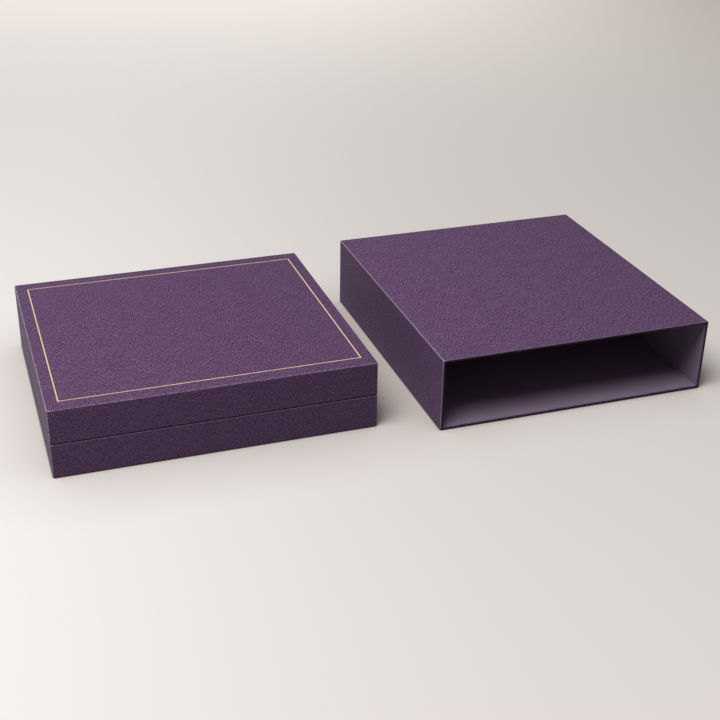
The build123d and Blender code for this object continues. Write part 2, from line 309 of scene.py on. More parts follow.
def skin(name, low, high, way_out, radius, closed_end):
    """A box's surface, open towards way_out, rounded along its sides and round its closed end, if any."""
    obj = block(name, low, high)

    def is_open(face):
        return looks(face, way_out) or (not closed_end and looks(face, -way_out))

    bevel(obj, lambda edge: not any(is_open(face) for face in edge.link_faces), radius)
    drop_faces(obj, is_open)
    return obj


def quarter_turn():
    """Shares of a quarter circle's radius, sideways and along, after each of a rim's segments."""
    angles = [math.pi / 2 * (i + 1) / RIM_SEGMENTS for i in range(RIM_SEGMENTS)]
    return [(1 - math.cos(angle), math.sin(angle)) for angle in angles]


def folded_sheet(name, low, high, way_out, wall, depth, edge, rim, inner_edge, closed_end=True):
    """Paper round the outside of a box, over its rim and down the inside, as one surface.
    wall is the folded thickness, depth how far the sheet goes down inside, and edge, rim and inner_edge the
    radii of the outer corners, the rim's outer edge and the inner corners and edge."""
    out = max(range(3), key=lambda i: abs(way_out[i]))
    level = high.dot(way_out) if way_out[out] > 0 else low.dot(way_out)
    short_low, short_high = low.copy(), high.copy()
    if way_out[out] > 0:
        short_high[out] -= rim
    else:
        short_low[out] += rim
    obj = skin(name, short_low, short_high, way_out, edge, closed_end)

    over = [(rim * side, rim * (1 - along)) for side, along in quarter_turn()]
    down = [(wall - inner_edge * (1 - along), inner_edge * side) for side, along in quarter_turn()]
    path = over + [(wall - inner_edge, 0.0)] + down + [(wall, depth)]
    pick(obj, "EDGE", lambda e: e.is_boundary and on_plane(e, way_out, level - rim))
    radius, inset = edge, 0.0
    for new_inset, drop in path:
        outside = new_inset <= rim
        new_radius = edge - new_inset if outside else inner_edge + wall - new_inset
        bpy.ops.mesh.extrude_edges_move()
        mesh = bmesh.from_edit_mesh(obj.data)
        for vertex in (v for v in mesh.verts if v.select):
            for i in (axis for axis in range(3) if axis != out):
                side = 1 if vertex.co[i] > (low[i] + high[i]) / 2 else -1
                wall_face = high[i] if side > 0 else low[i]
                turn = (vertex.co[i] - (wall_face - side * (inset + radius))) / radius
                vertex.co[i] = wall_face - side * (new_inset + new_radius) + turn * new_radius
            vertex.co[out] = way_out[out] * (level - drop)
        bmesh.update_edit_mesh(obj.data)
        radius, inset = new_radius, new_inset
    face_outward(obj)
    return obj


def refinish(obj, made, test):
    """Gives the faces that test finds a second material."""
    obj.data.materials.append(made)
    for polygon in obj.data.polygons:
        if test(polygon):
            polygon.material_index = len(obj.data.materials) - 1


def flat_face(way, least_area):
    """A test for a flat face that looks one way and is larger than this."""
    return lambda face: face.normal.dot(way) > SAME_WAY and face.calc_area() > least_area


def open_underside(obj, turn_in, edge_radius):
    """Cuts the field out of a bottom that the folded-in paper leaves free."""
    pick(obj, "FACE", flat_face(DOWN, WHOLE_BOTTOM))
    bpy.ops.mesh.inset(thickness=turn_in - edge_radius)
    bpy.ops.mesh.delete(type="FACE")
    object_mode()


def cut_lines(obj, test, axis, places):
    """Cuts the faces that test finds across one axis, at each of these places."""
    normal = Vector([float(i == axis) for i in range(3)])
    for place in places:
        pick(obj, "FACE", test)
        bpy.ops.mesh.bisect(plane_co=normal * place, plane_no=normal)
        object_mode()


def lay_grain(obj, turned=False):
    """A UV map in metres that unrolls the sheet round the box, with the grain along v: front to back on
    the top, and down over the front. turned swaps the two."""
    layer = obj.data.uv_layers.new(name="sheet")
    for polygon in obj.data.polygons:
        axis = max(range(3), key=lambda i: abs(polygon.normal[i]))
        across, along = {0: (2, 1), 1: (0, 2), 2: (0, 1)}[axis]
        if turned:
            across, along = along, across
        for loop in polygon.loop_indices:
            point = obj.data.vertices[obj.data.loops[loop].vertex_index].co
            layer.data[loop].uv = (point[across], point[along])


def give_thickness(obj, thickness):
    """Makes a surface a sheet, its outside staying where it is."""
    modify(obj, "SOLIDIFY", thickness=thickness, offset=-1, use_even_offset=True)


def shade(obj):
    only(obj)
    bpy.ops.object.shade_smooth_by_angle(angle=SMOOTH_ANGLE)
    modify(obj, "WEIGHTED_NORMAL", mode="FACE_AREA", weight=80, keep_sharp=True)


def finish_piece(obj, body, finish, replaces):
    obj.data.materials.clear()
    obj.data.materials.append(finish)
    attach(obj, body)
    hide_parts(*replaces)


# ---- node helpers --------------------------------------------------------------------------------------
class Graph:
    """Adds nodes to one node tree, with each input given as a value or as another node's output."""

    def __init__(self, tree):
        self.tree = tree

    def node(self, kind, inputs=None, **settings):
        made = self.tree.nodes.new(kind)
        for key, value in settings.items():
            setattr(made, key, value)
        self.fill(made, inputs or {})
        return made

    def fill(self, node, inputs):
        """Sets or links each of these inputs of a node."""
        for key, value in inputs.items():
            socket = node.inputs[key]
            if isinstance(value, bpy.types.NodeSocket):
                self.tree.links.new(value, socket)
            elif socket.type == "RGBA" and len(value) == 3:
                socket.default_value = (*value, 1)
            else:
                socket.default_value = value

    def place(self, kind="Object"):
        """The place on the piece, or its Normal there, in the part's own axes."""
        return self.node("ShaderNodeTexCoord").outputs[kind]

    def sheet(self):
        """The place on the unrolled sheet."""
        return self.node("ShaderNodeUVMap", uv_map="sheet").outputs[0]

    def parts(self, vector):
        return self.node("ShaderNodeSeparateXYZ", {0: vector}).outputs

    def math(self, operation, *values):
        inputs = dict(enumerate(values))
        return self.node("ShaderNodeMath", inputs, operation=operation).outputs[0]

    def vector(self, operation, *values):
        inputs = dict(enumerate(values))
        return self.node("ShaderNodeVectorMath", inputs, operation=operation).outputs[0]

    def scaled(self, vector, factor):
        return self.node("ShaderNodeVectorMath", {0: vector, "Scale": factor}, operation="SCALE").outputs[0]

    def mix(self, factor, a, b):
        """a turned into b by factor. 6, 7 and 2 are the node's colour sockets."""
        return self.node("ShaderNodeMix", {0: factor, 6: a, 7: b}, data_type="RGBA").outputs[2]

    def mix_shaders(self, factor, a, b):
        return self.node("ShaderNodeMixShader", {0: factor, 1: a, 2: b}).outputs[0]

    def noise(self, vector, scale, detail=2.0, roughness=0.5):
        inputs = {"Vector": vector, "Scale": scale, "Detail": detail, "Roughness": roughness}
        return self.node("ShaderNodeTexNoise", inputs).outputs[0]

    def step(self, value, low, high, start=0.0, end=1.0):
        """value taken smoothly from start to end between low and high."""
        inputs = {"Value": value, "From Min": low, "From Max": high, "To Min": start, "To Max": end}
        return self.node("ShaderNodeMapRange", inputs, interpolation_type="SMOOTHSTEP").outputs[0]

    def bump(self, height, distance, strength):
        inputs = {"Height": height, "Distance": distance, "Strength": strength}
        return self.node("ShaderNodeBump", inputs).outputs[0]

    def openness(self, reach):
        """1 where nothing stands within reach, and less beside a piece."""
        inputs = {"Distance": reach}
        return self.node("ShaderNodeAmbientOcclusion", inputs, samples=OCCLUSION_SAMPLES).outputs["AO"]

    def seen(self):
        """1 where a surface is seen, also in a reflection or through glass, and 0 where it lights others."""
        rays = self.node("ShaderNodeLightPath").outputs
        indirect = self.math("MAXIMUM", rays["Is Glossy Ray"], rays["Is Transmission Ray"])
        return self.math("MAXIMUM", rays["Is Camera Ray"], indirect)

    def group(self, name, build, inputs):
        """Places a node group, which build makes the first time."""
        tree = bpy.data.node_groups.get(name) or build(name)
        return self.node("ShaderNodeGroup", inputs, node_tree=tree).outputs


def new_group(name, inputs, outputs):
    """An empty node group with these sockets, its graph, its input sockets and its output node."""
    tree = bpy.data.node_groups.new(name, "ShaderNodeTree")
    for label, kind, default in inputs:
        socket = tree.interface.new_socket(label, in_out="INPUT", socket_type="NodeSocket" + kind)
        socket.default_value = default
    for label in outputs:
        tree.interface.new_socket(label, in_out="OUTPUT", socket_type="NodeSocketFloat")
    graph = Graph(tree)
    return tree, graph, graph.node("NodeGroupInput").outputs, graph.node("NodeGroupOutput")


def linen_grain_group(name):
    """Threads embossed in paper or woven in cloth: a main direction along v, fainter cross threads, thick
    spots, light fibres and slow mottling."""
    group, g, given, result = new_group(
        name,
        [("Sheet", "Vector", (0, 0, 0)), ("Pitch", "Float", 0.5 * MM), ("Cross", "Float", 0.4)],
        ["Height", "Fibre", "Shade", "Mottle"],
    )
    threads = g.scaled(given["Sheet"], g.math("DIVIDE", 1.0, given["Pitch"]))

    def streaks(stretch, detail=2.0, roughness=0.6):
        """Noise one thread wide, drawn out where stretch is below 1."""
        return g.noise(g.vector("MULTIPLY", threads, stretch), 1.0, detail, roughness)

    warp = streaks((1.0, 0.13, 1.0))
    weft = streaks((0.2, 1.0, 1.0))
    slub = g.step(streaks((0.5, 0.1, 1.0), roughness=0.5), 0.55, 0.75)
    fibre = g.step(streaks((1.0, 0.3, 1.0), detail=1.0), 0.52, 0.66)
    mottle = g.noise(g.scaled(given["Sheet"], 70.0), 1.0, detail=4.0, roughness=0.6)
    body = g.math("ADD", warp, g.math("MULTIPLY", weft, given["Cross"]))
    height = g.math("ADD", body, g.math("MULTIPLY", slub, 0.5))
    g.fill(result, {
        "Height": g.math("ADD", height, g.math("MULTIPLY", fibre, 0.4)),
        "Fibre": g.math("MAXIMUM", fibre, g.math("MULTIPLY", slub, 0.3)),
        "Shade": g.step(body, 0.58, 0.94),
        "Mottle": g.step(mottle, 0.3, 0.7),
    })
    return group


def edge_wear_and_highlight_group(name):
    """Where a covered box is rubbed, and where its left edges get a painted highlight: along its edges and more so
    at its corners, but not at the bottom. Across runs from -1 at its left side to 1 at its right; the painted
    shade follows it."""
    group, g, given, result = new_group(
        name,
        [
            ("Point", "Vector", (0, 0, 0)),
            ("Centre", "Vector", (0, 0, 0)),
            ("Half Size", "Vector", (0.1, 0.1, 0.02)),
            ("Width", "Float", 0.8 * MM),
        ],
        ["Edge", "Corner", "Across"],
    )
    place = g.vector("SUBTRACT", given["Point"], given["Centre"])
    inside = g.vector("SUBTRACT", given["Half Size"], g.vector("ABSOLUTE", place))
    side, _, rise = g.parts(place)
    half_side, _, half_rise = g.parts(given["Half Size"])
    above = g.step(g.math("DIVIDE", g.math("ADD", rise, half_rise), given["Width"]), 1.0, 3.0)
    x, y, z = g.parts(inside)
    lower, upper = g.math("MINIMUM", x, y), g.math("MAXIMUM", x, y)
    second = g.math("MAXIMUM", lower, g.math("MINIMUM", upper, z))
    third = g.math("MAXIMUM", upper, z)
    breakup = g.noise(given["Point"], 900.0, detail=3.0, roughness=0.7)
    width = g.math("MULTIPLY", given["Width"], g.step(breakup, 0.35, 0.7, start=0.6, end=1.4))
    edge = g.step(g.math("DIVIDE", second, width), 0.3, 1.0, start=1.0, end=0.0)
    wider = g.math("MULTIPLY", width, 1.6)
    corner = g.step(g.math("DIVIDE", third, wider), 0.2, 1.0, start=1.0, end=0.0)
    g.fill(result, {
        "Edge": g.math("MULTIPLY", edge, above),
        "Corner": g.math("MULTIPLY", corner, above),
        "Across": g.math("DIVIDE", side, half_side),
    })
    return group


def material(name):
    """A new material, its graph and its Principled BSDF."""
    made = bpy.data.materials.new(name)
    made.use_nodes = True
    return made, Graph(made.node_tree), made.node_tree.nodes["Principled BSDF"]


def settings():
    return bpy.context.scene


def covering_paper(name, low, high, wear_and_highlight=1.0, painted_shade_tone=1.0):
    """Plum linen-embossed paper, rubbed lighter along the edges of the box between low and high, the left edges
    more so as a painted highlight, and darker towards its right as painted shade. wear_and_highlight says how much
    it is rubbed and highlit, and a painted_shade_tone below 1 darkens it all as painted shade."""
    made, g, shader = material(name)
    colours = settings().gift_box_colours
    weave = {"Sheet": g.sheet(), "Pitch": GRAIN_PITCH, "Cross": 0.5}
    grain = g.group("Linen grain", linen_grain_group, weave)
    extent = {"Centre": (low + high) / 2, "Half Size": (high - low) / 2}
    # These masks place the wear, the painted highlight along the left edges and the painted shade towards the
    # right.
    rubbed = g.group("Edge wear", edge_wear_and_highlight_group, {"Point": g.place(), "Width": WEAR_WIDTH, **extent})
    dark, plum, light = (Vector(c) * painted_shade_tone for c in (colours.cover_dark, colours.cover, colours.cover_light))
    base = g.mix(grain["Shade"], dark, plum)
    base = g.mix(g.math("MULTIPLY", grain["Fibre"], FIBRE_SHARE), base, light)
    base = g.mix(g.math("MULTIPLY", grain["Mottle"], MOTTLE_SHARE), base, dark)

    # The grain shows less on upright faces.
    level = g.math("ABSOLUTE", g.parts(g.place("Normal"))[2])
    smooth = dark * 0.3 + plum * 0.42 + light * 0.08
    base = g.mix(g.step(level, 0.3, 0.8, start=CALM_SHARE, end=0.0), base, smooth)
    bump_strength = g.step(level, 0.3, 0.8, start=0.07, end=0.16)

    # Painted shade: the paper darkens from its left side towards its right, where less light falls.
    base = g.mix(g.step(rubbed["Across"], -1.0, 1.0, start=0.0, end=PAINTED_SHADE_SHARE), base, dark)
    # Wear along the edges; along the left edges it is stronger, as a painted highlight.
    edge_wear_and_highlight = g.step(rubbed["Across"], -0.97, -0.985, start=EDGE_WEAR * wear_and_highlight, end=LEFT_WEAR_AND_HIGHLIGHT * wear_and_highlight)
    at_edges = g.math("MULTIPLY", rubbed["Edge"], edge_wear_and_highlight)
    at_corners = g.math("MULTIPLY", rubbed["Corner"], CORNER_WEAR * wear_and_highlight)
    worn_and_highlit = g.math("MINIMUM", g.math("ADD", at_edges, at_corners), 1.0)
    g.fill(shader, {
        "Base Color": g.mix(worn_and_highlit, base, colours.worn_and_highlit),
        "Roughness": g.step(grain["Shade"], 0.0, 1.0, start=0.72, end=0.56),
        "Specular IOR Level": 0.1,
        "Sheen Weight": 0.03,
        "Sheen Roughness": 0.45,
        "Sheen Tint": (0.9, 0.8, 0.95, 1),
        "Normal": g.bump(grain["Height"], 0.1 * MM, bump_strength),
    })
    return made


def lining_paper(name, tone_and_painted_shade=1.0):
    """Smooth plum paper with a faint felt mark. A tone_and_painted_shade below 1 darkens it: a plainer tone for
    the bottom paper and painted shade for the neck's paper.
    """
    made, g, shader = material(name)
    plum = Vector(settings().gift_box_colours.lining) * tone_and_painted_shade
    point = g.place()
    felt = g.noise(point, 1600.0, detail=3.0, roughness=0.6)
    cloud = g.noise(point, 60.0, detail=3.0, roughness=0.55)
    base = g.mix(g.step(felt, 0.3, 0.7, start=0.0, end=0.28), plum, plum * 1.5)
    g.fill(shader, {
        "Base Color": g.mix(g.step(cloud, 0.35, 0.7, start=0.0, end=0.2), base, plum * 0.7),
        "Roughness": g.step(felt, 0.3, 0.7, start=0.5, end=0.62),
        "Specular IOR Level": 0.4,
        "Normal": g.bump(felt, 0.04 * MM, 0.6),
    })
    return made


def hinge_cloth_finish():
    """Book cloth, woven plain and darker than the paper."""
    made, g, shader = material("Hinge cloth")
    colours = settings().gift_box_colours
    weave = {"Sheet": g.sheet(), "Pitch": CLOTH_PITCH, "Cross": 1.0}
    grain = g.group("Linen grain", linen_grain_group, weave)
    cloth = Vector(colours.cloth)
    base = g.mix(grain["Shade"], cloth * 0.6, cloth * 1.25)
    g.fill(shader, {
        "Base Color": g.mix(g.math("MULTIPLY", grain["Fibre"], 0.3), base, colours.cover_light),
        "Roughness": g.step(grain["Shade"], 0.0, 1.0, start=0.85, end=0.7),
        "Sheen Weight": 0.2,
        "Normal": g.bump(grain["Height"], 0.16 * MM, 0.9),
    })
    return made


def velour_finish():
    """Short plum pile, brushed lighter in slow patches."""
    made, g, shader = material("Velour")
    plum = Vector(settings().gift_box_colours.velour)
    point = g.place()
    pile = g.noise(point, 2600.0, detail=2.0, roughness=0.6)
    brushed = g.noise(g.vector("MULTIPLY", point, (1.0, 0.45, 1.0)), 34.0, detail=3.0)
    base = g.mix(g.step(brushed, 0.3, 0.75), plum * 0.85, plum * 1.12)
    g.fill(shader, {
        "Base Color": g.mix(g.step(pile, 0.45, 0.75, start=0.0, end=0.35), base, plum * 1.9),
        "Roughness": g.step(brushed, 0.3, 0.7, start=0.95, end=0.82),
        "Sheen Weight": 0.22,
        "Sheen Roughness": 0.4,
        "Sheen Tint": (0.85, 0.7, 0.95, 1),
        "Normal": g.bump(pile, 0.2 * MM, 0.7),
    })
    return made


def foil_finish():
    """Pale gold foil that takes up some of the paper's grain."""
    made, g, shader = material("Gold foil")
    gold = Vector(settings().gift_box_colours.foil)
    point = g.place()
    grain = g.noise(point, 1500.0, roughness=0.6)
    patches = g.noise(point, 160.0)
    g.fill(shader, {
        "Base Color": g.mix(g.step(patches, 0.35, 0.65), gold * 0.86, gold),
        "Roughness": g.step(grain, 0.3, 0.7, start=0.26, end=0.42),
        "Metallic": 0.6,
        "Normal": g.bump(grain, 0.05 * MM, 0.8),
    })
    return made


def board_finish(name, board_colour):
    """Pressed recycled fibre, with dark and light specks."""
    made, g, shader = material(name)
    grey = Vector(board_colour)
    point = g.place()
    fibres = g.noise(point, 900.0, detail=4.0, roughness=0.7)
    specks = g.noise(point, 420.0, detail=1.0)
    base = g.mix(g.step(fibres, 0.3, 0.7), grey * 0.8, grey * 1.15)
    g.fill(shader, {
        "Base Color": g.mix(g.step(specks, 0.68, 0.74, start=0.0, end=0.6), base, grey * 0.35),
        "Roughness": g.step(fibres, 0.3, 0.7, start=0.92, end=0.8),
        "Normal": g.bump(fibres, 0.08 * MM, 0.7),
    })
    return made


# ---- pieces --------------------------------------------------------------------------------------------
def wall(cover_low, board):
    """Wall of a wrapped tray: its board and a sheet of covering paper on both sides."""
    board_low, board_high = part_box(board)
    paper = board_low.x - cover_low.x
    return board_high.x + paper - cover_low.x


def tray_paper(name, low, high, way_out, thickness, floor_level):
    """The covering paper of the tray or the lid, before its own details."""
    sizes = settings().gift_box_sizes
    depth = high.z - floor_level if way_out == UP else floor_level - low.z
    return folded_sheet(
        name, low, high, way_out, thickness, depth, sizes.box_edge, sizes.rim_edge, sizes.inner_edge
    )


class GIFTBOX_OT_lid_paper(bpy.types.Operator):
    """Covers the lid in linen-grained paper, pressed in where the gold line runs"""

    bl_idname = "giftbox.lid_paper"
    bl_label = "Lid paper"

    def execute(self, context):
        sizes = context.scene.gift_box_sizes
        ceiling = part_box("lid_top_board")[0].z
        obj = tray_paper("lid_paper", lid_low, lid_high, DOWN, wall(lid_low, "lid_left_board"), ceiling)
        foil_low, foil_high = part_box("lid_foil_line")
        line = sizes.foil_line
        top = flat_face(UP, SMALLEST_FACE)
        for axis in (0, 1):
            low, high = foil_low[axis], foil_high[axis]
            cut_lines(obj, top, axis, (low, low + line, high - line, high))

        def in_line(face):
            place = face.calc_center_median()
            inside = all(foil_low[i] < place[i] < foil_high[i] for i in (0, 1))
            clear = all(foil_low[i] + line < place[i] < foil_high[i] - line for i in (0, 1))
            return top(face) and inside and not clear

        pick(obj, "FACE", in_line)
        bpy.ops.mesh.extrude_region_move(TRANSFORM_OT_translate={"value": (0, 0, -sizes.foil_depth)})
        object_mode()
        give_thickness(obj, sizes.cover)
        lay_grain(obj)
        shade(obj)
        finish = covering_paper("Lid paper", lid_low, lid_high)
        finish_piece(obj, "lid", finish, ["lid_cover_paper"])
        # The lid's rim, where it meets the tray, gets a darker copy of the paper: painted shade in the gap.
        rim = covering_paper("Lid rim", lid_low, lid_high, wear_and_highlight=0.0, painted_shade_tone=RIM_PAINTED_SHADE)
        reach = lid_low.z + sizes.rim_edge
        refinish(obj, rim, lambda face: face.normal.z < -LID_RIM_TURN and face.center.z < reach)
        return {"FINISHED"}


class GIFTBOX_OT_foil_line(bpy.types.Operator):
    """Lays the gold line in its groove on the lid"""

    bl_idname = "giftbox.foil_line"
    bl_label = "Gold line"

    def execute(self, context):
        sizes = context.scene.gift_box_sizes
        low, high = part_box("lid_foil_line")
        centre = (low + high) / 2
        select_none()
        bpy.ops.mesh.primitive_plane_add(size=1, location=(centre.x, centre.y, high.z))
        bpy.context.object.scale = (high.x - low.x, high.y - low.y, 1)
        obj = named("gold_line")
        pick(obj, "FACE")
        bpy.ops.mesh.inset(thickness=sizes.foil_line)
        bpy.ops.mesh.delete(type="FACE")
        object_mode()
        give_thickness(obj, sizes.foil)
        bevel(obj, lambda edge: all(v.co.z > high.z - PLANE_TOLERANCE for v in edge.verts), sizes.foil / 3, 2)
        shade(obj)
        finish_piece(obj, "lid", foil_finish(), ["lid_foil_line"])
        return {"FINISHED"}


class GIFTBOX_OT_tray_paper(bpy.types.Operator):
    """Covers the lower tray in linen-grained paper, folded under its bottom"""

    bl_idname = "giftbox.tray_paper"
    bl_label = "Lower tray paper"

    def execute(self, context):
        sizes = context.scene.gift_box_sizes
        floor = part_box("base_floor_board")[1].z
        obj = tray_paper("tray_paper", base_low, base_high, UP, wall(base_low, "base_left_board"), floor)
        open_underside(obj, sizes.turn_in, sizes.box_edge)
        give_thickness(obj, sizes.cover)
        lay_grain(obj)
        shade(obj)
        finish = covering_paper("Tray paper", base_low, base_high, wear_and_highlight=0.5)
        finish_piece(obj, "box_base", finish, ["base_cover_paper"])
        # The flat top of the tray's rim gets a darker copy of the paper: painted shade in the gap under the lid.
        rim = covering_paper("Tray rim", base_low, base_high, wear_and_highlight=0.0, painted_shade_tone=RIM_PAINTED_SHADE)
        reach = base_high.z - sizes.rim_edge
        refinish(obj, rim, lambda face: face.normal.z > TRAY_RIM_TURN and face.center.z > reach)
        return {"FINISHED"}


class GIFTBOX_OT_neck_paper(bpy.types.Operator):
    """Covers the neck that guides the lid"""

    bl_idname = "giftbox.neck_paper"
    bl_label = "Neck paper"

    def execute(self, context):
        sizes = context.scene.gift_box_sizes
        low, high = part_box("neck_cover_paper")
        strip_low, strip_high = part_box("neck_left_strip")
        thickness = strip_high.x - strip_low.x + 2 * sizes.neck
        obj = folded_sheet(
            "neck_paper", low, high, UP, thickness, high.z - low.z,
            2 * sizes.inner_edge, sizes.inner_edge, sizes.inner_edge, closed_end=False,
        )
        give_thickness(obj, sizes.neck)
        shade(obj)
        # The neck's paper is the lining darkened to a fifth: painted shade in the gap between lid and tray.
        finish_piece(obj, "box_base", lining_paper("Neck paper", 0.2), ["neck_cover_paper"])
        return {"FINISHED"}


class GIFTBOX_OT_hinge_cloth(bpy.types.Operator):
    """Glues a strip of cloth down the back, with a groove pressed in where the lid turns"""

    bl_idname = "giftbox.hinge_cloth"
    bl_label = "Hinge cloth"

    def execute(self, context):
        low, high = node_box("hinge_cloth_lower", "hinge_cloth_upper")
        select_none()
        bpy.ops.mesh.primitive_grid_add(
            x_subdivisions=CLOTH_COLUMNS, y_subdivisions=CLOTH_ROWS, size=1,
            rotation=(math.radians(90), 0, 0), location=((low.x + high.x) / 2, high.y, (low.z + high.z) / 2),
        )
        bpy.context.object.scale = (high.x - low.x, high.z - low.z, 1)
        obj = named("hinge_cloth")
        for vertex in obj.data.vertices:
            near = max(0.0, 1 - abs(vertex.co.z - hinge.z) / GROOVE_HALF_WIDTH)
            vertex.co.y -= GROOVE_DEPTH * near * near * (3 - 2 * near)
        turn_over(obj)
        if obj.data.polygons[0].normal.y < 0:
            raise RuntimeError("the hinge cloth faces inwards")
        give_thickness(obj, high.y - low.y)
        lay_grain(obj, turned=True)
        shade(obj)
        obj.data.materials.append(hinge_cloth_finish())
        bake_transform(obj)
        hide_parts("hinge_cloth_lower", "hinge_cloth_upper")
        return {"FINISHED"}


def swell(obj, glued_level, side, furthest):
    """Blows a pad up a little as cloth over foam, with its glued side held flat. side is 1 where that is
    the lower one and -1 where it is the upper, and nothing moves further than furthest."""
    group = obj.vertex_groups.new(name="glued")
    glued = [v.index for v in obj.data.vertices if (v.co.z - glued_level) * side < GLUED_THICKNESS]
    group.add(glued, 1.0, "REPLACE")
    before = [v.co.copy() for v in obj.data.vertices]
    only(obj)
    modifier = obj.modifiers.new("Cloth", "CLOTH")
    cloth = modifier.settings
    cloth.use_pressure = True
    cloth.uniform_pressure_force = SWELL_PRESSURE
    cloth.vertex_group_mass = "glued"
    cloth.effector_weights.gravity = 0
    for number in range(1, SWELL_FRAMES + 1):
        bpy.context.scene.frame_set(number)
    bpy.ops.object.modifier_apply(modifier=modifier.name)
    bpy.context.scene.frame_set(1)
    for vertex, start in zip(obj.data.vertices, before):
        move = vertex.co - start
        if move.length > furthest:
            vertex.co = start + move * (furthest / move.length)


def make_pad(name, node, glued_down, body, finish):
    """A velour pad, crowned on its free side and flat where it is glued to its card."""
    low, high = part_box(node)
    low, high = low.copy(), high.copy()
    if glued_down:
        side, glued_level = 1, low.z
        high.z -= PAD_CROWN
    else:
        side, glued_level = -1, high.z
        low.z += PAD_CROWN
    tuck = Vector((PAD_TUCK, PAD_TUCK, 0))
    obj = block(name, low + tuck, high - tuck)
    bevel(obj, lambda edge: abs((edge.verts[0].co - edge.verts[1].co).z) > MM, PAD_CORNER)

    def round_free_face(edge):
        free = [face.normal.dot(UP * side) > NEARLY_SAME_WAY for face in edge.link_faces]
        return any(free) and not all(free)

    bevel(obj, round_free_face, PAD_EDGE)
    modify(obj, "REMESH", mode="VOXEL", voxel_size=COARSE_MESH if high.z - low.z > THICK_PAD else FINE_MESH)
    swell(obj, glued_level, side, PAD_CROWN)
    for vertex in obj.data.vertices:
        if (vertex.co.z - glued_level) * side < PRESSED_FLAT:
            vertex.co.z = glued_level
    modify(obj, "SUBSURF", levels=1, render_levels=1)
    only(obj)
    bpy.ops.object.shade_smooth()
    finish_piece(obj, body, finish, [node])


class GIFTBOX_OT_pads(bpy.types.Operator):
    """Pads the floor of the tray and the ceiling of the lid with velour over foam"""

    bl_idname = "giftbox.pads"
    bl_label = "Pads"

    def execute(self, context):
        finish = velour_finish()
        make_pad("tray_pad", "base_pad", True, "box_base", finish)
        make_pad("lid_pad_cover", "lid_pad", False, "lid", finish)
        return {"FINISHED"}


class GIFTBOX_OT_slipcase_paper(bpy.types.Operator):
    """Covers the slipcase in linen-grained paper, round the edges of its mouth and in"""

    bl_idname = "giftbox.slipcase_paper"
    bl_label = "Slipcase paper"

    def execute(self, context):
        sizes = context.scene.gift_box_sizes
        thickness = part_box("sleeve_left_board")[1].x - case_low.x
        obj = folded_sheet(
            "slipcase_paper", case_low, case_high, FRONT, thickness, sizes.turn_in,
            sizes.case_edge, sizes.rim_edge * CASE_RIM_SHARE, sizes.inner_edge,
        )
        open_underside(obj, sizes.turn_in, sizes.case_edge)
        give_thickness(obj, sizes.cover)
        lay_grain(obj)
        shade(obj)
        finish = covering_paper("Slipcase paper", case_low, case_high, wear_and_highlight=0.7)
        finish_piece(obj, "sleeve", finish, ["sleeve_cover_paper"])
        # The front of the slipcase's mouth gets a darker copy of the paper: painted shade.
        rim = covering_paper("Slipcase rim", case_low, case_high, wear_and_highlight=0.1, painted_shade_tone=CASE_RIM_PAINTED_SHADE)
        reach = case_low.y + CASE_RIM_DEPTH
        refinish(obj, rim, lambda face: face.normal.y < -CASE_RIM_TURN and face.center.y < reach)
        return {"FINISHED"}


class GIFTBOX_OT_slipcase_lining(bpy.types.Operator):
    """Lines the slipcase with smooth paper: one sheet round floor, back and ceiling, one on each side"""

    bl_idname = "giftbox.slipcase_lining"
    bl_label = "Slipcase lining"

    def execute(self, context):
        low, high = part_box("sleeve_lining")
        corner_gap, paper = 0.3 * MM, 0.15 * MM
        inner_low = Vector((low.x + paper, low.y, low.z + paper))
        inner_high = high - Vector((paper, paper, paper))

        def is_side(face):
            return looks(face, SIDE) or looks(face, -SIDE)

        round_sheet = block("slipcase_lining", inner_low, inner_high)
        drop_faces(round_sheet, lambda face: looks(face, FRONT) or is_side(face))
        gap = UP * corner_gap
        sides = block("lining_sides", inner_low + gap, inner_high - gap)
        drop_faces(sides, lambda face: not is_side(face))
        for obj in (round_sheet, sides):
            turn_over(obj)
            give_thickness(obj, paper)
        only(round_sheet, sides)
        bpy.ops.object.join()
        shade(round_sheet)
        finish = lining_paper("Slipcase lining")
        finish_piece(round_sheet, "sleeve", finish, ["sleeve_lining"])
        return {"FINISHED"}


class GIFTBOX_OT_boards(bpy.types.Operator):
    """Gives the boards, tapes, cards and flat sheets their finish"""

    bl_idname = "giftbox.boards"
    bl_label = "Boards and flat sheets"

    def execute(self, context):
        colours = context.scene.gift_box_colours
        finishes = {
            "greyboard": board_finish("Greyboard", colours.board),
            "gummed_tape": board_finish("Gummed tape", colours.tape),
            "lining_paper": lining_paper("Lining paper"),
            "bottom_paper": lining_paper("Bottom paper", 0.85),
        }
        for subpart in frame["record"]["subparts"]:
            node, slot = frame["nodes"][subpart["node"]], subpart["material_slot"]
            if slot in finishes:
                node.data.materials.clear()
                node.data.materials.append(finishes[slot])
        return {"FINISHED"}


